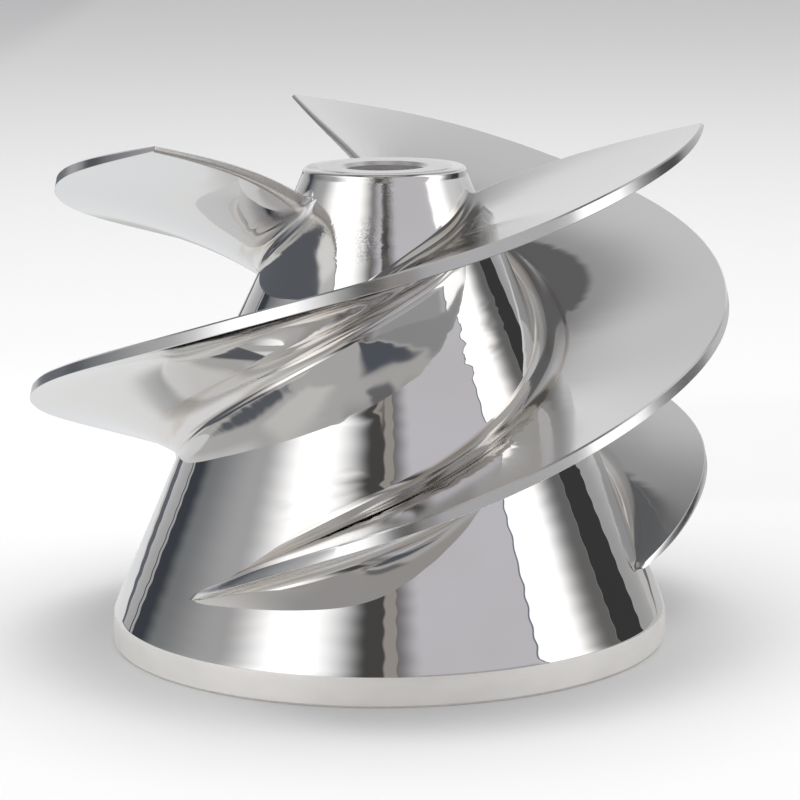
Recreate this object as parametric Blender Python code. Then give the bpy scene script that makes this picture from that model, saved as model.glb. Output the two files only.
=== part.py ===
"""Jet pump impeller: one stainless casting with a conical hub and three helical blades.

The impeller stands on the turned rear face of its hub, small intake end up, and its shaft
axis is Z. Lengths are in metres, angles in degrees. Angles around the shaft grow counter-
clockwise seen from above, and each blade winds down the hub the other way.
"""
import bpy
import bmesh
import numpy as np
from math import radians

MM = 0.001

# Hub: turned rim at the rear, cone, flat nose ring with the shaft bore
HEIGHT = 105.0 * MM
RIM_RADIUS = 61.7 * MM
RIM_HEIGHT = 7.0 * MM
RIM_CHAMFER = 0.6 * MM
NOSE_RADIUS = 18.0 * MM
NOSE_EDGE = 1.2 * MM
CONE_TOP = 103.8 * MM
BORE_RADIUS = 8.9 * MM
BORE_CHAMFER = 0.8 * MM
# Radius of the cone at a few heights, rim to nose
CONE = [(7, 61.6), (34, 49.75), (64, 36.6), (92, 23.2), (103.8, 18.0)]

# Rear hollow around the shaft boss
WALL = 6.5 * MM
BOSS_RADIUS = 16.5 * MM
BOSS_END = 3.0 * MM
HOLLOW_TOP = 80.0 * MM
HOLLOW_CROWN = 6.0 * MM

# Blades
BLADES = 3
FIRST_TIP = 108.6
SWEEP_END = 245.0
# Along the sweep, in degrees from the tip of the leading edge: outer radius and height of the
# outer edge's upper corner, thickness of that edge
EDGE_RADIUS = [(0, 69.5), (30, 70.9), (60, 72.4), (90, 73.8), (120, 75.2), (150, 77.0),
               (178, 80.0), (205, 79.2), (225, 68.9), (236, 63.4), (245, 59.4)]
EDGE_HEIGHT = [(0, 115.2), (30, 108.1), (60, 97.7), (90, 87.3), (120, 75.8), (150, 64.1),
               (178, 51.6), (208, 37.3), (228, 26.6), (245, 18.5)]
EDGE_THICKNESS = [(0, 1.2), (15, 2.1), (40, 2.6), (110, 2.7), (180, 2.5), (225, 2.0), (245, 1.0)]
# The turned edge widens towards the rear, so its lower corner stands out a little more
EDGE_FLARE = 0.16
# Height at which the blade's upper face meets the cone, thickness there, root fillet
ROOT_HEIGHT = [(0, 102.6), (20, 97.8), (45, 91.2), (75, 83.8), (105, 74.1), (135, 63.2),
               (165, 51.9), (195, 40.4), (225, 28.5), (245, 18.4)]
ROOT_THICKNESS = [(0, 3.1), (20, 3.3), (45, 3.9), (75, 4.7), (135, 5.3), (195, 6.2),
                  (225, 4.2), (245, 1.6)]
ROOT_FILLET = [(0, 1.0), (25, 4.0), (60, 5.0), (200, 5.0), (235, 2.5), (245, 0.6)]
ROOT_DEPTH = 3.0 * MM
# How far each face rises above a straight line from root to edge, at mid-span
UPPER_RISE = [(0, 0.3), (60, 0.5), (200, 0.5), (245, 0.0)]
LOWER_RISE = [(0, 0.6), (40, 1.6), (90, 2.0), (195, 2.0), (228, 0.6), (245, 0.0)]
# At its root the leading edge starts this many degrees behind its tip
NOSE_LAG = 13.7
# The tail sinks into the cone by this much at its end
TAIL_SINK = [(0, 0.0), (205, 0.0), (230, 0.35), (245, 1.5)]

# Fineness of the faceted solids
TURNS = 36
ALONG = 24
FILLET_ROWS = 3
FACE_ROWS = 3
# Share of the span taken by the fillet
FILLET_SHARE = 0.1


def clear_scene():
    for item in list(bpy.data.objects):
        bpy.data.objects.remove(item, do_unlink=True)


def smooth_curve(knots):
    """A natural cubic spline through a few (position, value) knots."""
    x, y = np.array(knots, dtype=float).T
    h = np.diff(x)
    system = np.eye(len(x))
    bend = np.zeros(len(x))
    for i in range(1, len(x) - 1):
        system[i, i - 1:i + 2] = h[i - 1], 2 * (h[i - 1] + h[i]), h[i]
        bend[i] = 6 * ((y[i + 1] - y[i]) / h[i] - (y[i] - y[i - 1]) / h[i - 1])
    m = np.linalg.solve(system, bend)

    def at(v):
        v = np.clip(v, x[0], x[-1])
        i = np.clip(np.searchsorted(x, v) - 1, 0, len(x) - 2)
        a, b = x[i + 1] - v, v - x[i]
        k = h[i]
        return ((m[i] * a ** 3 + m[i + 1] * b ** 3) / (6 * k)
                + (y[i] / k - m[i] * k / 6) * a + (y[i + 1] / k - m[i + 1] * k / 6) * b)

    return at


cone_mm = smooth_curve(CONE)
edge_radius = smooth_curve(EDGE_RADIUS)
edge_height = smooth_curve(EDGE_HEIGHT)
edge_thickness = smooth_curve(EDGE_THICKNESS)
root_height = smooth_curve(ROOT_HEIGHT)
root_thickness = smooth_curve(ROOT_THICKNESS)
root_fillet = smooth_curve(ROOT_FILLET)
upper_rise = smooth_curve(UPPER_RISE)
lower_rise = smooth_curve(LOWER_RISE)
tail_sink = smooth_curve(TAIL_SINK)


def cone_radius(z):
    return cone_mm(z / MM) * MM


def steel(name, roughness):
    material = bpy.data.materials.new(name)
    material.use_nodes = True
    shader = material.node_tree.nodes["Principled BSDF"]
    shader.inputs["Base Color"].default_value = (0.72, 0.71, 0.69, 1.0)
    shader.inputs["Metallic"].default_value = 1.0
    shader.inputs["Roughness"].default_value = roughness
    return material


def add_object(name, bm, material):
    mesh = bpy.data.meshes.new(name)
    bmesh.ops.recalc_face_normals(bm, faces=bm.faces[:])
    bm.to_mesh(mesh)
    bm.free()
    mesh.materials.append(material)
    item = bpy.data.objects.new(name, mesh)
    bpy.context.scene.collection.objects.link(item)
    return item


def hub_profile():
    """The hub's section, as (radius, height) points from the bore's mouth and back to it."""
    points = [(BORE_RADIUS + BORE_CHAMFER, HEIGHT)]
    # rounded edge of the nose ring
    for step in range(4):
        angle = radians(90 - 26 * step)
        points.append((NOSE_RADIUS - NOSE_EDGE * (1 - np.cos(angle)),
                       HEIGHT - NOSE_EDGE * (1 - np.sin(angle))))
    # cone from the nose down to the rim
    for z in np.linspace(CONE_TOP, RIM_HEIGHT, 8):
        points.append((cone_radius(z), z))
    points.append((RIM_RADIUS, RIM_CHAMFER))
    points.append((RIM_RADIUS - RIM_CHAMFER, 0.0))
    # flat rear face, then the hollow up to its rounded crown and down the boss
    points.append((RIM_RADIUS - WALL + RIM_CHAMFER, 0.0))
    points.append((RIM_RADIUS - WALL, RIM_CHAMFER))
    shoulder = HOLLOW_TOP - HOLLOW_CROWN
    for z in np.linspace(RIM_HEIGHT, shoulder, 4):
        points.append((cone_radius(z) - WALL, z))
    middle = (cone_radius(shoulder) - WALL + BOSS_RADIUS) / 2
    half = middle - BOSS_RADIUS
    points.append((middle + 0.75 * half, HOLLOW_TOP - 0.3 * HOLLOW_CROWN))
    points.append((middle, HOLLOW_TOP))
    points.append((middle - 0.75 * half, HOLLOW_TOP - 0.3 * HOLLOW_CROWN))
    points.append((BOSS_RADIUS, shoulder))
    points.append((BOSS_RADIUS, BOSS_END + RIM_CHAMFER))
    points.append((BOSS_RADIUS - RIM_CHAMFER, BOSS_END))
    # bore with a chamfer at each mouth
    points.append((BORE_RADIUS + BORE_CHAMFER, BOSS_END))
    points.append((BORE_RADIUS, BOSS_END + BORE_CHAMFER))
    points.append((BORE_RADIUS, HEIGHT - BORE_CHAMFER))
    return points


def turned_body(points):
    """Spins a closed section once around the shaft axis."""
    bm = bmesh.new()
    verts = [bm.verts.new((r, 0.0, z)) for r, z in points]
    edges = [bm.edges.new((a, b)) for a, b in zip(verts, verts[1:] + verts[:1])]
    bmesh.ops.spin(bm, geom=verts + edges, cent=(0, 0, 0), axis=(0, 0, 1),
                   angle=radians(360), steps=TURNS, use_merge=True)
    bmesh.ops.remove_doubles(bm, verts=bm.verts[:], dist=1e-6)
    return bm


def span_rows():
    """Shares of the span at the rows of a blade face: buried root, fillet, face, edge."""
    fillet = np.linspace(0.0, FILLET_SHARE, FILLET_ROWS + 1)
    face = np.linspace(FILLET_SHARE, 1.0, FACE_ROWS + 1)[1:]
    return np.concatenate([[0.0], fillet, face])


def blade_side(phi, upper):
    """One face of the blade's section at a station: (radius, height) points, root to edge."""
    sign = 1.0 if upper else -1.0
    rise = (upper_rise if upper else lower_rise)(phi) * MM
    fillet = root_fillet(phi) * MM
    z_corner = root_height(phi) * MM - (0.0 if upper else root_thickness(phi) * MM)
    corner = np.array([cone_radius(z_corner), z_corner])
    z_foot = z_corner + sign * fillet * 0.9
    foot = np.array([cone_radius(z_foot) - 0.05 * MM, z_foot])
    tip = np.array([edge_radius(phi), edge_height(phi)]) * MM
    if not upper:
        tip += np.array([EDGE_FLARE, -1.0]) * edge_thickness(phi) * MM
    sink = np.array([max(tail_sink(phi), 0.0) * MM, 0.0])

    def on_face(share):
        arch = np.array([0.0, 4 * share * (1 - share) * rise])
        return corner + (tip - corner) * share + arch

    end_share = min(fillet / max(np.linalg.norm(tip - corner), 1e-9), 0.45)
    end = on_face(end_share)
    points = [foot - np.array([ROOT_DEPTH, 0.0])]
    for t in np.linspace(0.0, 1.0, FILLET_ROWS + 1):
        points.append((1 - t) ** 2 * foot + 2 * t * (1 - t) * corner + t * t * end)
    for share in np.linspace(end_share, 1.0, FACE_ROWS + 1)[1:]:
        points.append(on_face(share))
    return [point - sink for point in points]


def blade_body(first_angle):
    """A helical blade as a closed slab, with its root sunk in the hub's wall."""
    shares = span_rows()
    last = len(shares) - 1
    bm = bmesh.new()
    bmesh.ops.create_grid(bm, x_segments=ALONG, y_segments=last, size=0.5)
    made = bmesh.ops.extrude_face_region(bm, geom=bm.faces[:])
    for vert in made["geom"]:
        if isinstance(vert, bmesh.types.BMVert):
            vert.co.z = 1.0
    sections = {}
    for vert in bm.verts:
        u, across, upper = vert.co.x + 0.5, vert.co.y + 0.5, vert.co.z > 0.5
        row = int(round(across * last))
        lag = NOSE_LAG * (1 - shares[row]) ** 3
        # stations crowd towards both ends
        u = u - 0.1 * np.sin(2 * np.pi * u) / np.pi
        phi = lag + (SWEEP_END - lag) * u
        key = (round(phi, 6), upper)
        if key not in sections:
            sections[key] = blade_side(phi, upper)
        r, z = sections[key][row]
        angle = radians(first_angle - phi)
        vert.co = (r * np.cos(angle), r * np.sin(angle), z)
    return bm


def union(target, tool):
    """Joins a blade to the casting and drops the tool object."""
    joint = target.modifiers.new("union", "BOOLEAN")
    joint.operation = "UNION"
    joint.solver = "EXACT"
    joint.object = tool
    graph = bpy.context.evaluated_depsgraph_get()
    graph.update()
    joined = bpy.data.meshes.new_from_object(target.evaluated_get(graph))
    target.modifiers.clear()
    target.data = joined
    bpy.data.objects.remove(tool, do_unlink=True)


def build():
    clear_scene()
    finish = steel("polished_steel", 0.06)
    casting = add_object("impeller_casting", turned_body(hub_profile()), finish)
    for number in range(BLADES):
        first_angle = FIRST_TIP - number * 360.0 / BLADES
        blade = add_object("blade_%d" % number, blade_body(first_angle), finish)
        union(casting, blade)
    bm = bmesh.new()
    bm.from_mesh(casting.data)
    bmesh.ops.remove_doubles(bm, verts=bm.verts[:], dist=2e-5)
    bmesh.ops.dissolve_degenerate(bm, edges=bm.edges[:], dist=2e-5)
    bmesh.ops.triangulate(bm, faces=bm.faces[:])
    bm.to_mesh(casting.data)
    bm.free()
    casting.data.shade_smooth()
    casting.data.set_sharp_from_angle(angle=radians(30))


build()
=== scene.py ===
"""Jet pump impeller in the studio: a polished stainless casting with three helical blades.

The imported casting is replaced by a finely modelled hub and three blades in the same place.
Lengths are in metres, angles in degrees. Angles around the shaft grow counterclockwise seen
from above, and each blade winds down the hub the other way.
"""
from math import cos, pi, radians, sin

import bmesh
import bpy
import numpy as np
from mathutils import Matrix, Vector


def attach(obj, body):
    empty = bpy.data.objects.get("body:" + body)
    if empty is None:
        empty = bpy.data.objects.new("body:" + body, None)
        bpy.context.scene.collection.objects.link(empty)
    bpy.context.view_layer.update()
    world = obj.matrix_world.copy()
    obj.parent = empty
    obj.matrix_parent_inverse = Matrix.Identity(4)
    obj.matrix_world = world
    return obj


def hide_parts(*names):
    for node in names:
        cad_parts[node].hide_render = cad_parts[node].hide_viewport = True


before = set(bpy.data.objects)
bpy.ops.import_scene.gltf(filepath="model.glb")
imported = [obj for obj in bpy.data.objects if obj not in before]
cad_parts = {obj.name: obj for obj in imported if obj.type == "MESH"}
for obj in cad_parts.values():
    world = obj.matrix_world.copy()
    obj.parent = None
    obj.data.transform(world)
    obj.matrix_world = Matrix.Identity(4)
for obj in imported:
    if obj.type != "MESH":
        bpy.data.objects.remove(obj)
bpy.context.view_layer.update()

MM = 0.001

# Hub
HEIGHT = 105.0
RIM_RADIUS = 61.7
RIM_HEIGHT = 7.0
RIM_CHAMFER = 0.6
NOSE_RADIUS = 18.0
NOSE_EDGE = 1.2
CONE_TOP = 103.8
BORE_RADIUS = 8.9
BORE_CHAMFER = 0.8
CONE = [(7, 61.6), (34, 49.75), (64, 36.6), (92, 23.2), (103.8, 18.0)]
WALL = 6.5
BOSS_RADIUS = 16.5
BOSS_END = 3.0
HOLLOW_TOP = 80.0
HOLLOW_CROWN = 6.0

# Blades, along the sweep in degrees from the tip of the leading edge
BLADES = 3
FIRST_TIP = 108.6
SWEEP_END = 245.0
EDGE_RADIUS = [(0, 69.5), (30, 70.9), (60, 72.4), (90, 73.8), (120, 75.2), (150, 77.0),
               (178, 80.0), (205, 79.2), (225, 68.9), (236, 63.4), (245, 59.4)]
EDGE_HEIGHT = [(0, 115.2), (30, 108.1), (60, 97.7), (90, 87.3), (120, 75.8), (150, 64.1),
               (178, 51.6), (208, 37.3), (228, 26.6), (245, 18.5)]
EDGE_THICKNESS = [(0, 1.2), (15, 2.1), (40, 2.6), (110, 2.7), (180, 2.5), (225, 2.0), (245, 1.0)]
EDGE_FLARE = 0.16
ROOT_HEIGHT = [(0, 102.6), (20, 97.8), (45, 91.2), (75, 83.8), (105, 74.1), (135, 63.2),
               (165, 51.9), (195, 40.4), (225, 28.5), (245, 18.4)]
ROOT_THICKNESS = [(0, 3.1), (20, 3.3), (45, 3.9), (75, 4.7), (135, 5.3), (195, 6.2),
                  (225, 4.2), (245, 1.6)]
ROOT_FILLET = [(0, 1.0), (25, 4.0), (60, 5.0), (200, 5.0), (235, 2.5), (245, 0.6)]
ROOT_DEPTH = 3.0
UPPER_RISE = [(0, 0.3), (60, 0.5), (200, 0.5), (245, 0.0)]
LOWER_RISE = [(0, 0.6), (40, 1.6), (90, 2.0), (195, 2.0), (228, 0.6), (245, 0.0)]
NOSE_LAG = 13.7
TAIL_SINK = [(0, 0.0), (205, 0.0), (230, 0.35), (245, 1.5)]
# Rough share of the span that the fillet takes, how far down the cone it reaches in fillet sizes,
# and the most of a short span that the fillet and the chamfer may take near the tail
FILLET_SHARE = 0.08
FILLET_REACH = 0.9
FILLET_LIMIT = 0.45
CHAMFER_LIMIT = 0.2
# Small forms that only show close up
UPPER_CHAMFER = 0.35
LOWER_CHAMFER = 0.15
APRON = 1.2
APRON_SINK = 0.12
FOOT_SINK = 0.004
NOSE_ROUND = 0.8
FILLET_ROUND = 0.14
TAIL_ROUND = [0.15, 0.40, 0.85]

# Zones of the hub and of a blade, in the order of their materials
CONE_ZONE, RIM_ZONE, RING_ZONE, BORE_ZONE, HOLLOW_ZONE = range(5)
UPPER_ZONE, LOWER_ZONE, EDGE_ZONE, NOSE_ZONE = range(4)

# Fineness
TURNS = 360
RING_ROWS = (12.8, 14.8)
NOSE_EDGE_POINTS = 9
CONE_POINTS = 130
RIM_ROWS = (6.6, 5.0, 3.0)
HOLLOW_POINTS = 24
CROWN_POINTS = 14
BORE_POINTS = 24
SWEEP_COLUMNS = 250
SWEEP_CROWDING = 0.1
NOSE_COLUMNS = 12
FILLET_ROWS = 12
FACE_ROWS = 26

# Angles from which an edge of the hub or of a blade is shaded sharp
HUB_SHARP = 22
BLADE_SHARP = 32


# Shapes

def smooth_curve(knots):
    """A natural cubic spline through a few (position, value) knots."""
    x, y = np.array(knots, dtype=float).T
    h = np.diff(x)
    system = np.eye(len(x))
    bend = np.zeros(len(x))
    for i in range(1, len(x) - 1):
        system[i, i - 1:i + 2] = h[i - 1], 2 * (h[i - 1] + h[i]), h[i]
        bend[i] = 6 * ((y[i + 1] - y[i]) / h[i] - (y[i] - y[i - 1]) / h[i - 1])
    m = np.linalg.solve(system, bend)

    def at(v):
        v = np.clip(v, x[0], x[-1])
        i = np.clip(np.searchsorted(x, v) - 1, 0, len(x) - 2)
        a, b = x[i + 1] - v, v - x[i]
        k = h[i]
        return ((m[i] * a ** 3 + m[i + 1] * b ** 3) / (6 * k)
                + (y[i] / k - m[i] * k / 6) * a + (y[i + 1] / k - m[i + 1] * k / 6) * b)

    return at


cone_radius = smooth_curve(CONE)
edge_radius = smooth_curve(EDGE_RADIUS)
edge_height = smooth_curve(EDGE_HEIGHT)
edge_thickness = smooth_curve(EDGE_THICKNESS)
root_height = smooth_curve(ROOT_HEIGHT)
root_thickness = smooth_curve(ROOT_THICKNESS)
root_fillet = smooth_curve(ROOT_FILLET)
upper_rise = smooth_curve(UPPER_RISE)
lower_rise = smooth_curve(LOWER_RISE)
tail_sink = smooth_curve(TAIL_SINK)


def add_piece(name, bm, materials, sharp):
    """Turns a bmesh into a finished piece that rides with the casting's body."""
    mesh = bpy.data.meshes.new(name)
    bmesh.ops.recalc_face_normals(bm, faces=bm.faces[:])
    bm.to_mesh(mesh)
    bm.free()
    for material in materials:
        mesh.materials.append(material)
    piece = bpy.data.objects.new(name, mesh)
    bpy.context.scene.collection.objects.link(piece)
    mesh.shade_smooth()
    mesh.set_sharp_from_angle(angle=radians(sharp))
    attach(piece, "root")
    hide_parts("impeller_casting")


def hub_section():
    """The hub's section as (radius, height, zone) points, from the bore's mouth round."""
    points = [(BORE_RADIUS + BORE_CHAMFER, HEIGHT, RING_ZONE)]
    points += [(r, HEIGHT, RING_ZONE) for r in RING_ROWS]
    for angle in np.radians(np.linspace(90, 12, NOSE_EDGE_POINTS)):
        points.append((NOSE_RADIUS - NOSE_EDGE * (1 - cos(angle)),
                       HEIGHT - NOSE_EDGE * (1 - sin(angle)), CONE_ZONE))
    for z in np.linspace(CONE_TOP, RIM_HEIGHT, CONE_POINTS):
        points.append((float(cone_radius(z)), z, CONE_ZONE))
    for z in (*RIM_ROWS, RIM_CHAMFER):
        points.append((RIM_RADIUS, z, RIM_ZONE))
    points.append((RIM_RADIUS - RIM_CHAMFER, 0.0, RIM_ZONE))
    points.append((RIM_RADIUS - WALL + RIM_CHAMFER, 0.0, RIM_ZONE))
    points.append((RIM_RADIUS - WALL, RIM_CHAMFER, HOLLOW_ZONE))
    shoulder = HOLLOW_TOP - HOLLOW_CROWN
    for z in np.linspace(RIM_HEIGHT, shoulder, HOLLOW_POINTS):
        points.append((float(cone_radius(z)) - WALL, z, HOLLOW_ZONE))
    outer = float(cone_radius(shoulder)) - WALL
    middle, half = (outer + BOSS_RADIUS) / 2, (outer - BOSS_RADIUS) / 2
    for angle in np.radians(np.linspace(0, 180, CROWN_POINTS)[1:-1]):
        points.append((middle + half * cos(angle), shoulder + HOLLOW_CROWN * sin(angle),
                       HOLLOW_ZONE))
    points.append((BOSS_RADIUS, shoulder, HOLLOW_ZONE))
    points.append((BOSS_RADIUS, BOSS_END + RIM_CHAMFER, HOLLOW_ZONE))
    points.append((BOSS_RADIUS - RIM_CHAMFER, BOSS_END, BORE_ZONE))
    points.append((BORE_RADIUS + BORE_CHAMFER, BOSS_END, BORE_ZONE))
    for z in np.linspace(BOSS_END + BORE_CHAMFER, HEIGHT - BORE_CHAMFER, BORE_POINTS):
        points.append((BORE_RADIUS, z, BORE_ZONE))
    return points


def hub(materials):
    """Spins the hub's section round the shaft and gives each zone its finish."""
    section = hub_section()
    bm = bmesh.new()
    verts = [bm.verts.new((r * MM, 0.0, z * MM)) for r, z, _ in section]
    edges = [bm.edges.new(pair) for pair in zip(verts, verts[1:] + verts[:1])]
    bmesh.ops.spin(bm, geom=verts + edges, cent=(0, 0, 0), axis=(0, 0, 1),
                   angle=radians(360), steps=TURNS, use_merge=True)
    bmesh.ops.remove_doubles(bm, verts=bm.verts[:], dist=1e-7)
    zones = {(round(r, 3), round(z, 3)): zone for r, z, zone in section}
    for face in bm.faces:
        spots = [(round(vert.co.xy.length / MM, 3), round(vert.co.z / MM, 3))
                 for vert in face.verts]
        face.material_index = min((zones[spot] for spot in spots if spot in zones),
                                  default=CONE_ZONE)
    add_piece("hub", bm, materials, HUB_SHARP)


def blade_rows():
    """Shares of the fillet and of the face beyond it at a blade face's rows."""
    fillet = np.linspace(0.0, 1.0, FILLET_ROWS + 1)
    face = np.linspace(0.0, 1.0, FACE_ROWS + 1)[1:]
    return fillet, face


def face_grid(upper, phi_of):
    """Radius, height and span of every vertex on one blade face, rows by columns.

    phi_of gives a row's stations from its share of the span and from how far its fillet spreads.
    """
    sign = 1.0 if upper else -1.0
    chamfer = UPPER_CHAMFER if upper else LOWER_CHAMFER
    rise_of = upper_rise if upper else lower_rise
    fillet_rows, face_rows = blade_rows()
    kinds = [("buried", 0.0), ("apron", 0.0)]
    kinds += [("fillet", t) for t in fillet_rows]
    kinds += [("face", t) for t in face_rows] + [("corner", 1.0)]
    rows = []
    for kind, t in kinds:
        rough_share = {"fillet": FILLET_SHARE * t, "face": FILLET_SHARE + (1 - FILLET_SHARE) * t,
                       "corner": 1.0}.get(kind, 0.0)
        spread = {"fillet": (1 - t) ** 2, "face": 0.0, "corner": 0.0}.get(kind, 1.0)
        phi = phi_of(rough_share, spread)
        fillet = root_fillet(phi)
        z_corner = root_height(phi) - (0.0 if upper else root_thickness(phi))
        corner = np.array([cone_radius(z_corner), z_corner])
        z_foot = z_corner + sign * fillet * FILLET_REACH
        foot = np.array([cone_radius(z_foot) - FOOT_SINK, z_foot])
        tip = np.array([edge_radius(phi), edge_height(phi)])
        if not upper:
            tip = tip + np.array([[EDGE_FLARE], [-1.0]]) * edge_thickness(phi)
        length = np.maximum(np.hypot(*(tip - corner)), 1e-6)
        end_share = np.minimum(fillet / length, FILLET_LIMIT)
        rise = rise_of(phi)

        def on_face(share):
            arch = 4 * share * (1 - share) * rise
            return corner + (tip - corner) * share + np.array([np.zeros_like(arch), arch])

        if kind in ("buried", "apron"):
            z_apron = z_foot + sign * APRON
            point = np.array([cone_radius(z_apron) - APRON_SINK, z_apron])
            if kind == "buried":
                point = point - np.array([[ROOT_DEPTH], [0.0]])
        elif kind == "fillet":
            point = (1 - t) ** 2 * foot + 2 * t * (1 - t) * corner + t * t * on_face(end_share)
        elif kind == "face":
            last = 1 - np.minimum(chamfer / length, CHAMFER_LIMIT)
            point = on_face(end_share + (last - end_share) * t)
        else:
            point = tip - np.array([[0.0], [sign * chamfer]]) * np.minimum(length / 3, 1.0)
        point = point - np.array([np.maximum(tail_sink(phi), 0.0), np.zeros_like(phi)])
        rows.append((point, phi, rough_share, spread))
    return rows


def blade(name, first_angle, materials):
    """A helical blade: a fine grid made a slab, wound along the sweep, with a rounded nose."""
    # the columns stand closer at both ends of the sweep
    stations = np.linspace(0, 1, SWEEP_COLUMNS + 1)
    stations = stations - SWEEP_CROWDING * np.sin(2 * pi * stations) / pi
    turn = np.radians(np.linspace(0, 90, NOSE_COLUMNS + 1))

    def phi_of(share, spread):
        # the first columns go round the leading edge and its fillet, the others along the sweep
        lag = NOSE_LAG * (1 - share) ** 3
        thick = root_thickness(lag) * (1 - share) + edge_thickness(lag) * share
        reach = edge_radius(lag) * share + cone_radius(root_height(lag)) * (1 - share)
        nose = NOSE_ROUND * thick / 2
        start = lag + np.degrees(nose / reach)
        zone = np.degrees((nose + spread * root_fillet(lag)) / reach)
        first = start - zone * np.cos(turn[:-1])
        return np.concatenate([first, start + (SWEEP_END - start) * stations])

    faces = {up: face_grid(up, phi_of) for up in (True, False)}
    last_row = len(faces[True]) - 1
    last_column = NOSE_COLUMNS + SWEEP_COLUMNS
    pull = np.zeros(last_column + 1)
    pull[:NOSE_COLUMNS] = 1 - np.sin(turn[:-1])
    pull[-len(TAIL_ROUND):] = TAIL_ROUND
    place = {}
    for row in range(last_row + 1):
        (high, phi, _, spread), low = faces[True][row], faces[False][row][0]
        middle = (high[1] + low[1]) / 2
        for up, side in ((True, high), (False, low)):
            z = side[1] + (middle - side[1]) * pull * (NOSE_ROUND + FILLET_ROUND * spread)
            # a row on the cone stays on it at its new height
            r = side[0] + spread * (cone_radius(z) - cone_radius(side[1]))
            angle = np.radians(first_angle - phi)
            place[up, row] = np.stack([r * np.cos(angle), r * np.sin(angle), z]) * MM

    bm = bmesh.new()
    bmesh.ops.create_grid(bm, x_segments=last_column, y_segments=last_row, size=0.5)
    made = bmesh.ops.extrude_face_region(bm, geom=bm.faces[:])
    for item in made["geom"]:
        if isinstance(item, bmesh.types.BMVert):
            item.co.z = 1.0
    span = bm.verts.layers.float.new("span")
    sweep = bm.verts.layers.float.new("sweep")
    spot = {}
    for vert in bm.verts:
        column = int(round((vert.co.x + 0.5) * last_column))
        row = int(round((vert.co.y + 0.5) * last_row))
        up = vert.co.z > 0.5
        spot[vert] = (column, row, up)
        vert.co = place[up, row][:, column]
        vert[span] = faces[True][row][2]
        vert[sweep] = faces[True][row][1][column] / SWEEP_END
    for face in bm.faces:
        columns, rows, ups = zip(*(spot[vert] for vert in face.verts))
        if min(rows) >= last_row - 1:
            face.material_index = EDGE_ZONE
        elif max(columns) <= NOSE_COLUMNS and min(rows) > FILLET_ROWS + 1:
            face.material_index = NOSE_ZONE
        elif all(ups):
            face.material_index = UPPER_ZONE
        else:
            face.material_index = LOWER_ZONE
    add_piece(name, bm, materials, BLADE_SHARP)


# Finishes

class Link:
    """A shader socket that Python's arithmetic works on."""

    def __init__(self, tree, socket):
        self.tree = tree
        self.socket = socket

    def math(self, operation, *values):
        return self.tree.add("ShaderNodeMath", {"operation": operation}, values)

    def __add__(self, other):
        return self.math("ADD", self, other)

    def __radd__(self, other):
        return self.math("ADD", other, self)

    def __sub__(self, other):
        return self.math("SUBTRACT", self, other)

    def __rsub__(self, other):
        return self.math("SUBTRACT", other, self)

    def __mul__(self, other):
        return self.math("MULTIPLY", self, other)

    def __rmul__(self, other):
        return self.math("MULTIPLY", other, self)

    def __truediv__(self, other):
        return self.math("DIVIDE", self, other)

    def __pow__(self, other):
        return self.math("POWER", self, other)

    def __abs__(self):
        return self.math("ABSOLUTE", self)

    def sine(self):
        return self.math("SINE", self)

    def clamped(self):
        return self.math("MINIMUM", self.math("MAXIMUM", self, 0.0), 1.0)

    def step(self, low, high):
        """0 below low and 1 above high, smooth between."""
        return self.tree.add("ShaderNodeMapRange", {"interpolation_type": "SMOOTHSTEP"},
                             {"Value": self, "From Min": low, "From Max": high})


class Tree:
    """Builds the nodes of one material or of the world."""

    def __init__(self, owner):
        owner.use_nodes = True
        self.tree = owner.node_tree
        self.tree.nodes.clear()

    def add(self, kind, settings=None, inputs=(), output=0):
        """A node from its type, settings and inputs; gives one of its outputs."""
        node = self.tree.nodes.new(kind)
        for name, value in (settings or {}).items():
            setattr(node, name, value)
        pairs = inputs.items() if isinstance(inputs, dict) else enumerate(inputs)
        for name, value in pairs:
            if isinstance(value, Link):
                self.tree.links.new(value.socket, node.inputs[name])
            else:
                node.inputs[name].default_value = value
        return Link(self, node.outputs[output]) if node.outputs else None

    def mix(self, share, first, second):
        """A blend of two colours."""
        return self.add("ShaderNodeMix", {"data_type": "RGBA"},
                        {0: share, 6: first, 7: second}, output=2)


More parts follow.
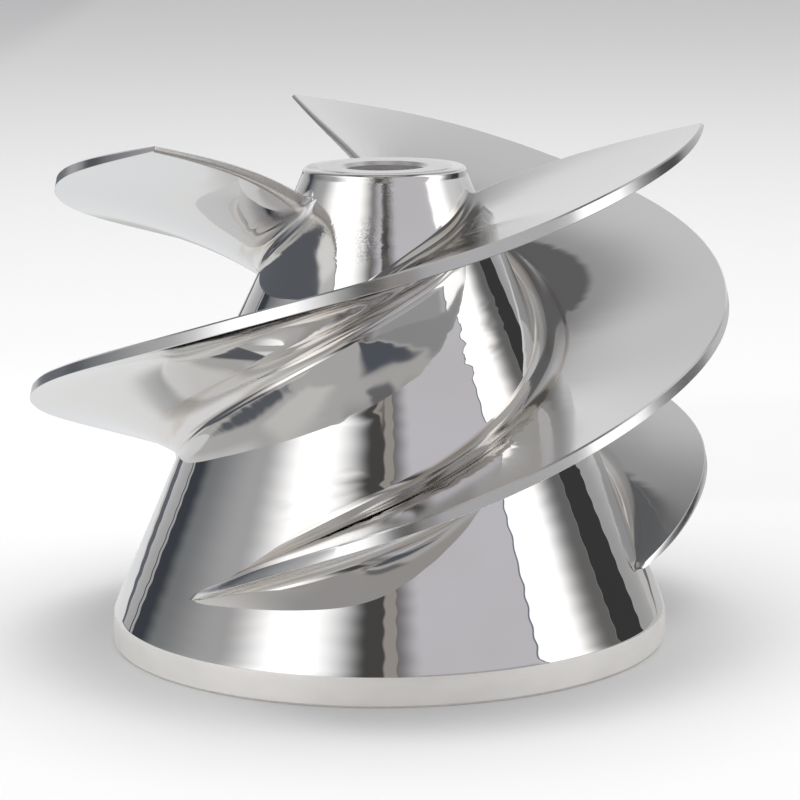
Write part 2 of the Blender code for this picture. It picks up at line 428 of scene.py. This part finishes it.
class Finish(Tree):
    """A metal's nodes, with its place on the casting ready to use."""

    def __init__(self, name):
        self.material = bpy.data.materials.new(name)
        super().__init__(self.material)
        self.place = self.add("ShaderNodeTexCoord", output="Object")
        self.x, self.y, self.z = (self.add("ShaderNodeSeparateXYZ", None, [self.place], output=k)
                                  for k in range(3))
        self.radius = (self.x * self.x + self.y * self.y) ** 0.5
        # the place as a direction round the shaft, so that grain can follow it without a seam
        self.east, self.north = self.x / self.radius, self.y / self.radius

    def attribute(self, name):
        return self.add("ShaderNodeAttribute", {"attribute_name": name}, output="Fac")

    def grain(self, lengths, detail=2.0, roughness=0.5, at=None):
        """Noise with the given feature lengths along x, y and z, or along the values in at."""
        at = at or (self.x, self.y, self.z)
        scaled = self.add("ShaderNodeCombineXYZ", None,
                          [way * (1.0 / length) for way, length in zip(at, lengths)])
        return self.add("ShaderNodeTexNoise", None, {"Vector": scaled, "Scale": 1.0,
                                                     "Detail": detail, "Roughness": roughness})

    def vector(self, operation, inputs):
        return self.add("ShaderNodeVectorMath", {"operation": operation}, inputs)

    def lean(self, around, outward):
        """The surface's direction, leaned round the shaft and away from it by small angles."""
        normal = self.add("ShaderNodeNewGeometry", output="Normal")
        for parts, angle in (((0 - self.north, self.east, 0.0), around),
                             ((self.east, self.north, 0.0), outward)):
            way = self.add("ShaderNodeCombineXYZ", None, parts)
            normal = self.vector("ADD", [normal, self.vector("SCALE", {0: way, 3: angle})])
        return self.vector("NORMALIZE", [normal])

    def bump(self, height, distance, below=None):
        inputs = {"Height": height, "Distance": distance}
        if below is not None:
            inputs["Normal"] = below
        return self.add("ShaderNodeBump", None, inputs)

    def done(self, colour, roughness, normal, metallic=1.0):
        shader = self.add("ShaderNodeBsdfPrincipled", None,
                          {"Base Color": colour, "Metallic": metallic, "Roughness": roughness,
                           "Normal": normal})
        self.add("ShaderNodeOutputMaterial", None, {"Surface": shader})
        return self.material


BRIGHT_STEEL = (0.80, 0.795, 0.79, 1.0)
WARM_STEEL = (0.74, 0.70, 0.65, 1.0)
# Painted brown for the shade and reflections in the blades' fillets
PAINTED_FILLET_BROWN = (0.56, 0.49, 0.41, 1.0)

# Buffing marks on the cone: pitch, drift and angle of its regular ripple, angles of the slow waves,
# angle and slant of the brushed streaks, angle of the neck's speckle and of its crown
RIPPLE_PITCH = 0.0040
RIPPLE_DRIFT = 14.0
RIPPLE_ANGLE = 0.0030
WAVE_ANGLE = 0.022
SWAY_ANGLE = 0.020
STREAK_ANGLE = 0.10
STREAK_RISE = 0.009
SPECK_ANGLE = 0.12
NECK_CROWN = 0.115
# Heights between which they come and go, and the side that the streaks keep to
STREAK_BAND = [(0.028, 0.040), (0.072, 0.084)]
STREAK_SIDE = (-0.55, -0.40)
SPECK_FADE = (0.078, 0.094)
DULL_FADE = (0.084, 0.098)
CROWN_FADE = (0.087, 0.097)


def hub_polish():
    """Mirror polish, with the slow waves, ripple and brushed patches that buffing leaves."""
    steel = Finish("mirror_polish")
    drift = steel.grain((0.03, 0.03, 0.02), 1.0)
    wave = steel.grain((0.022, 0.022, 0.020), 0.5) - 0.5
    sway = steel.grain((0.08, 0.08, 0.0075), 1.0) - 0.5
    ripple = (steel.z * (2 * pi / RIPPLE_PITCH) + drift * RIPPLE_DRIFT).sine()
    band_start, band_end = STREAK_BAND
    patches = steel.z.step(*band_start) * (1 - steel.z.step(*band_end))
    patches = patches * steel.grain((0.020, 0.020, 0.010), 1.0).step(0.54, 0.60)
    patches = patches * steel.east.step(*STREAK_SIDE)
    slanted = steel.z - steel.east * STREAK_RISE
    streak = steel.grain((0.16, 0.16, 0.0016), 0.6, 0.5, (steel.east, steel.north, slanted)) - 0.5
    neck = steel.z.step(*SPECK_FADE) * steel.grain((0.02, 0.02, 0.01), 1.0).step(0.45, 0.60)
    speck = steel.grain((0.0005, 0.0005, 0.0004), 1.0) - 0.5
    around = (wave * WAVE_ANGLE + sway * SWAY_ANGLE + ripple * RIPPLE_ANGLE
              + streak * patches * STREAK_ANGLE + speck * neck * SPECK_ANGLE)
    tint = steel.grain((0.03, 0.03, 0.02), 2.0).step(0.4, 0.7)
    colour = steel.mix(tint * 0.3, BRIGHT_STEEL, WARM_STEEL)
    rough = 0.02 + 0.02 * patches + 0.10 * steel.z.step(*DULL_FADE)
    crown = steel.z.step(*CROWN_FADE) * NECK_CROWN
    return steel.done(colour, rough, steel.lean(around, wave * 0.02 - crown))


# Angle of the long marks in a blade's fillet, and how much rougher the fillet's front end is
MARK_ANGLE = 0.38
FRONT_ROUGHNESS = 0.30
# Shares of the span or of the sweep between which a blade's marks and gloss come and go
FILLET_END = (0.07, 0.16)
FILLET_START = (0.06, 0.14)
TOOTH_BAND = [(0.06, 0.14), (0.20, 0.60)]
FRONT_SWEEP = (0.07, 0.13)
FRONT_SPAN = (0.05, 0.16)
SATIN_FADE = (0.14, 0.80)


def blade_polish(name, root_gloss, outer_gloss, tooth_angle, wave_angle, painted_fillet_shade):
    """Blade face: mirror polish at the root and softer outwards, with long marks in the fillet,
    which is tinted warm and streaked brown as painted shade and painted reflections.
    """
    steel = Finish(name)
    span, sweep = steel.attribute("span"), steel.attribute("sweep")
    fillet = (1 - span.step(*FILLET_END)) * sweep.step(*FILLET_START)
    tooth_start, tooth_end = TOOTH_BAND
    rooted = span.step(*tooth_start) * (1 - span.step(*tooth_end))
    front = (1 - sweep.step(*FRONT_SWEEP)) * (1 - span.step(*FRONT_SPAN))
    mark = steel.grain((0.11, 0.055, 1.0), 0.5, 0.5, (sweep, span ** 0.5, sweep * 0))
    tooth = steel.grain((0.045, 0.045, 0.03), 1.5, 0.5, (steel.east, steel.north, steel.radius))
    wave = steel.grain((0.02, 0.02, 0.016), 1.0)
    outward = ((mark - 0.5) * fillet * MARK_ANGLE + (tooth - 0.5) * rooted * tooth_angle
               + (wave - 0.5) * wave_angle)
    # Painted shade and painted reflections: the fillet between blade and hub is tinted warmer and
    # darker, browner still along its long marks; the marks' tilt of the surface is real
    brown = mark.step(0.46, 0.66) * fillet
    colour = steel.mix(fillet * 0.35 * painted_fillet_shade, BRIGHT_STEEL, WARM_STEEL)
    colour = steel.mix(brown * painted_fillet_shade, colour, PAINTED_FILLET_BROWN)
    soft = span.step(*SATIN_FADE)
    fine = steel.grain((0.0012, 0.0012, 0.0012), 2.0) - 0.5
    rough = root_gloss + (outer_gloss - root_gloss) * soft + 0.04 * fine * soft + 0.05 * fillet
    rough = rough + FRONT_ROUGHNESS * front
    return steel.done(colour, rough, steel.lean((wave - 0.5) * wave_angle, outward))


# Brightness of the duller patches on a turned surface
WORN = 0.86


def turned_finish(name, colour, roughness, pitch, depth, rings, metallic=1.0):
    """A lathe-turned face or band: fine grooves round the shaft, as rings on a face."""
    steel = Finish(name)
    if rings:
        still = steel.z * 0
        groove = steel.grain((pitch, 1.0, 1.0), 2.0, 0.6, (steel.radius, still, still))
    else:
        groove = steel.grain((0.4, 0.4, pitch), 2.0, 0.6, (steel.east, steel.north, steel.z))
    patchy = steel.grain((0.012, 0.012, 0.006), 3.0)
    normal = steel.bump(groove, depth)
    worn = tuple(WORN * c for c in colour[:3]) + (1.0,)
    tone = steel.mix(patchy.step(0.35, 0.75) * 0.3, colour, worn)
    return steel.done(tone, roughness + 0.12 * (patchy - 0.5), normal, metallic)


def edge_finish():
    """The blades' turned edges: bright, with fine lines along the sweep."""
    steel = Finish("turned_edge")
    line = steel.grain((0.3, 0.3, 0.00025), 2.0, 0.6, (steel.east, steel.north, steel.z))
    slow = steel.grain((0.01, 0.01, 0.01), 1.0)
    normal = steel.bump(line, 0.000003, steel.bump(slow, 0.0001))
    return steel.done((0.84, 0.835, 0.83, 1.0), 0.17 + 0.05 * line, normal)


def nose_brushing():
    """The blades' leading edges: dressed by hand, speckled and a little warm."""
    steel = Finish("brushed_leading_edge")
    speck = steel.grain((0.0006, 0.0006, 0.0005), 3.0, 0.7)
    normal = steel.bump(speck, 0.00005)
    colour = steel.mix(speck.step(0.4, 0.65), (0.84, 0.825, 0.80, 1.0), (0.74, 0.72, 0.69, 1.0))
    return steel.done(colour, 0.24 + 0.2 * speck, normal)


def cast_finish():
    """The hidden hollow: as cast, blasted."""
    steel = Finish("cast_hollow")
    grit = steel.grain((0.0008, 0.0008, 0.0008), 4.0, 0.7)
    cloud = steel.grain((0.02, 0.02, 0.02), 3.0)
    normal = steel.bump(grit, 0.00022)
    colour = steel.mix(cloud, (0.52, 0.51, 0.49, 1.0), (0.66, 0.65, 0.62, 1.0))
    return steel.done(colour, 0.42 + 0.2 * grit, normal)


polished = hub_polish()
rim = turned_finish("turned_rim", (0.96, 0.94, 0.91, 1.0), 0.46, 0.0004, 0.000012, False, 0.70)
ring = turned_finish("nose_ring_face", (0.86, 0.86, 0.86, 1.0), 0.30, 0.0004, 0.000010, True)
bore = turned_finish("bore_wall", (0.90, 0.89, 0.88, 1.0), 0.15, 0.0006, 0.000006, False, 0.85)
hollow = cast_finish()
upper_face = blade_polish("satin_upper_face", 0.03, 0.13, 0.10, 0.02, 0.6)
lower_face = blade_polish("polished_lower_face", 0.03, 0.07, 0.03, 0.05, 0.5)
turned_edge = edge_finish()
nose_edge = nose_brushing()

hub([polished, rim, ring, bore, hollow])
for number in range(BLADES):
    blade("blade_" + "abc"[number], FIRST_TIP - number * 360.0 / BLADES,
          [upper_face, lower_face, turned_edge, nose_edge])


# Studio

def studio_floor():
    """The plain floor that the impeller stands on."""
    bm = bmesh.new()
    bmesh.ops.create_grid(bm, x_segments=4, y_segments=4, size=6.0)
    mesh = bpy.data.meshes.new("studio_floor")
    bm.to_mesh(mesh)
    bm.free()
    material = bpy.data.materials.new("floor_paint")
    tree = Tree(material)
    shader = tree.add("ShaderNodeBsdfPrincipled", None,
                      {"Base Color": (0.80, 0.80, 0.80, 1.0), "Roughness": 0.8})
    tree.add("ShaderNodeOutputMaterial", None, {"Surface": shader})
    mesh.materials.append(material)
    floor = bpy.data.objects.new("studio_floor", mesh)
    bpy.context.scene.collection.objects.link(floor)


# Painted reflections: light and dark patches glowing on a sheet at the floor round the impeller,
# which only its polish sees. For each its level, then the fades of its left and right sides along X
# and of its near and far sides along Y, in metres. A patch without a side there runs on past the
# sheet's end.
NO_START = (-9.1, -9.0)
NO_END = (9.0, 9.1)
# The sheet's painted ground tone where no patch lies, and the radii between which the sheet fades
# in round the impeller, inside which the real floor shows in the polish
PAINTED_GROUND_TONE = (0.56, 0.555, 0.55)
PAINTED_GROUND_FADE = (0.072, 0.092)
PAINTED_REFLECTION_PATCHES = [
    ((0.36, 0.36, 0.37), (0.30, 0.42), NO_END, NO_START, (-0.35, -0.25)),
    ((0.13, 0.14, 0.16), NO_START, (-0.345, -0.285), (-0.32, -0.27), NO_END),
    ((0.11, 0.125, 0.15), (-0.03, 0.03), (0.26, 0.34), NO_START, (-0.39, -0.34)),
    ((0.95, 0.95, 0.95), (-0.80, -0.62), (-0.44, -0.38), (-0.60, -0.45), (-0.33, -0.28)),
    ((0.42, 0.41, 0.405), (-0.07, -0.03), (0.17, 0.24), (-0.27, -0.22), (-0.10, -0.07)),
    ((0.80, 0.80, 0.80), (-0.21, -0.15), (-0.06, -0.03), (-0.09, -0.05), (0.12, 0.16)),
    ((0.74, 0.73, 0.715), (-0.28, -0.23), (-0.15, -0.08), (-0.38, -0.33), (-0.13, -0.09)),
    ((0.19, 0.19, 0.20), (0.00, 0.02), (0.07, 0.10), (-0.30, -0.28), (-0.235, -0.215)),
    ((0.79, 0.80, 0.81), (-0.40, -0.30), (-0.05, -0.03), (0.102, 0.112), (0.30, 0.40)),
    ((0.15, 0.155, 0.165), (0.04, 0.05), (0.15, 0.19), (0.12, 0.14), (0.25, 0.30)),
]


def reflected_ground():
    """A glowing sheet on the floor that only the polish sees: painted reflections of light and dark
    ground round the impeller.
    """
    bm = bmesh.new()
    bmesh.ops.create_grid(bm, x_segments=1, y_segments=1, size=9.0,
                          matrix=Matrix.Translation((0.0, 0.0, 0.001)))
    mesh = bpy.data.meshes.new("reflected_ground")
    bm.to_mesh(mesh)
    bm.free()
    material = bpy.data.materials.new("painted_ground_reflections")
    tree = Tree(material)
    place = tree.add("ShaderNodeTexCoord", output="Object")
    x, y = (tree.add("ShaderNodeSeparateXYZ", None, [place], output=k) for k in range(2))
    tone = tree.mix(0.0, (*PAINTED_GROUND_TONE, 1.0), (*PAINTED_GROUND_TONE, 1.0))
    for level, left, right, near, far in PAINTED_REFLECTION_PATCHES:
        across = x.step(*left) * (1 - x.step(*right))
        deep = y.step(*near) * (1 - y.step(*far))
        tone = tree.mix(across * deep, tone, (*level, 1.0))
    # the sheet glows with these painted tones and is seen only in reflections
    glow = tree.add("ShaderNodeEmission", None, {"Color": tone, "Strength": 1.0})
    clear = tree.add("ShaderNodeBsdfTransparent")
    radius = (x * x + y * y) ** 0.5
    shader = tree.add("ShaderNodeMixShader", None, [radius.step(*PAINTED_GROUND_FADE), clear, glow])
    tree.add("ShaderNodeOutputMaterial", None, {"Surface": shader})
    mesh.materials.append(material)
    ground = bpy.data.objects.new("reflected_ground", mesh)
    bpy.context.scene.collection.objects.link(ground)
    ground.visible_camera = ground.visible_diffuse = ground.visible_shadow = False
    ground.visible_transmission = ground.visible_volume_scatter = False


studio_floor()
reflected_ground()

# Camera, solved from the photo's ellipses
LENS = 136.94
ELEVATION = 10.70
DISTANCE = 0.6751
AIM = Vector((0.00286, 0.0, 0.0528))
ROLL = -0.56

camera = bpy.data.objects.new("camera", bpy.data.cameras.new("camera"))
bpy.context.scene.collection.objects.link(camera)
camera.data.sensor_width = 36.0
camera.data.lens = LENS
camera.data.clip_start = 0.01
tilt = radians(ELEVATION)
camera.location = AIM + DISTANCE * Vector((0.0, -cos(tilt), sin(tilt)))
camera.rotation_mode = "QUATERNION"
turned = Matrix.Rotation(radians(90) - tilt, 4, "X") @ Matrix.Rotation(radians(ROLL), 4, "Z")
camera.rotation_quaternion = turned.to_quaternion()
bpy.context.scene.camera = camera

# Soft boxes and dark flags stand round the impeller as upright panels: for each its level, the
# azimuths between which its left edge fades in and those between which its right edge fades out.
# Azimuth 0 is the camera's side and 90 the right. The last value is None, or for a panel with a gap
# it gives the heights between which the gap starts, over the line that the foot of the cone
# reflects, and how strongly the panel returns above the gap.
BACKDROP = (0.80, 0.80, 0.81)
PANELS = [
    ((0.42, 0.42, 0.43), (-170, -132.2), (-130.6, -130.0), None),
    ((0.050, 0.056, 0.068), (-130.6, -130.0), (9.0, 9.5), None),
    ((0.070, 0.068, 0.066), (-60, -40), (9.0, 9.5), None),
    ((0.030, 0.034, 0.046), (-133.4, -132.9), (-132.5, -132.1), None),
    ((0.20, 0.21, 0.22), (-123, -112), (-30, -10), None),
    ((0.42, 0.42, 0.43), (-114, -80), (-30, -10), None),
    ((1.50, 1.50, 1.50), (-78, -46), (-42, -10), None),
    ((0.34, 0.315, 0.295), (-3.0, -1.5), (3.4, 4.0), (8.0, 10.0, 0.0)),
    ((0.19, 0.185, 0.19), (3.4, 4.0), (66.6, 67.2), None),
    ((0.590, 0.580, 0.615), (3.0, 16.0), (66.6, 67.2), None),
    ((0.16, 0.18, 0.24), (65.9, 66.3), (67.0, 67.4), None),
    ((1.50, 1.50, 1.50), (66.6, 67.4), (82, 102), None),
    ((0.15, 0.15, 0.15), (84, 104), (108.2, 108.8), (8.4, 9.8, 0.4)),
    ((0.045, 0.045, 0.046), (108.2, 108.8), (126.6, 127.4), (8.4, 9.8, 0.3)),
    ((0.38, 0.38, 0.385), (126.6, 127.4), (128, 175), (8.4, 9.8, 1.0)),
]
# A grey panel low at the front right, with the fades of its sides and top
LOW_FRONT = (0.42, 0.42, 0.43)
LOW_FRONT_SIDES = [(8, 16), (60, 66)]
LOW_FRONT_FADE = (12.0, 20.0)
# The ceiling and the soft box overhead
CEILING = (0.13, 0.13, 0.135)
ZENITH = (0.50, 0.49, 0.475)
# The line in the studio that the foot of the cone reflects: its height at the camera's side and how
# far it has dropped at azimuth 120. Above it, panels left of the camera lean outwards by up to LEAN
# degrees, reached at the height LEAN_LIMIT, and their right edges by less. A gap in a panel ends
# between the heights of GAP_END.
FOOT_LINE = 33.1
FOOT_DROP = 22.2
LEAN = 22.0
LEAN_LIMIT = 10.0
RIGHT_LEAN = 0.18
LEAN_SIDES = [(-128, -110), (-6, -2)]
GAP_END = (18.0, 24.0)
# The back starts between two azimuths and dims in two stages. The ceiling and the soft box overhead
# start between two heights in degrees.
BACK_FADE = (128, 145)
BACK_STAGES = [(0.20, (22, 36)), (0.45, (44, 60))]
CEILING_FADE = (60.0, 62.5)
ZENITH_FADE = (72.0, 76.0)


def studio_world():
    """The light studio with its panels, ceiling and soft box, as a world."""
    world = bpy.data.worlds.new("studio")
    bpy.context.scene.world = world
    tree = Tree(world)
    way = tree.add("ShaderNodeTexCoord", output="Generated")
    x, y, z = (tree.add("ShaderNodeSeparateXYZ", None, [way], output=k) for k in range(3))
    azimuth = x.math("ARCTAN2", x, 0 - y) * (180 / pi)
    height = x.math("ARCSINE", z) * (180 / pi)
    tone = tree.mix(0.0, (*BACKDROP, 1.0), (*BACKDROP, 1.0))
    above = height - (FOOT_LINE - FOOT_DROP * (azimuth / 120.0) * (azimuth / 120.0))
    lean_start, lean_end = LEAN_SIDES
    lean = (above / LEAN_LIMIT).clamped() ** 2 * LEAN * (1 - azimuth.step(*lean_end))
    lean = lean * azimuth.step(*lean_start)
    leaned, less_leaned = azimuth + lean, azimuth + lean * RIGHT_LEAN
    for level, left, right, gap in PANELS:
        mask = leaned.step(*left) * (1 - less_leaned.step(*right))
        if gap:
            low, high, return_share = gap
            mask = mask * (1 - above.step(low, high) * (1 - above.step(*GAP_END) * return_share))
        tone = tree.mix(mask, tone, (*level, 1.0))
    front_left, front_right = LOW_FRONT_SIDES
    front = azimuth.step(*front_left) * (1 - azimuth.step(*front_right))
    front = front * (1 - height.step(*LOW_FRONT_FADE))
    tone = tree.mix(front, tone, (*LOW_FRONT, 1.0))
    back = abs(azimuth).step(*BACK_FADE)
    for dimming, fade in BACK_STAGES:
        tone = tree.mix(back * height.step(*fade) * dimming, tone, (0.0, 0.0, 0.0, 1.0))
    tone = tree.mix(height.step(*CEILING_FADE), tone, (*CEILING, 1.0))
    tone = tree.mix(height.step(*ZENITH_FADE), tone, (*ZENITH, 1.0))
    light = tree.add("ShaderNodeBackground", None, {"Color": tone, "Strength": 1.0})
    tree.add("ShaderNodeOutputWorld", None, {"Surface": light})


def floor_light(name, place, size, power):
    """A wide soft light for the floor, out of sight in the polish."""
    lamp = bpy.data.lights.new(name, "AREA")
    lamp.shape = "DISK"
    lamp.size = size
    lamp.energy = power
    item = bpy.data.objects.new(name, lamp)
    item.location = place
    item.visible_glossy = False
    bpy.context.scene.collection.objects.link(item)


studio_world()
floor_light("overhead_light", (0.0, 0.0, 1.6), 1.6, 22.0)

bpy.context.scene.view_settings.view_transform = "Standard"
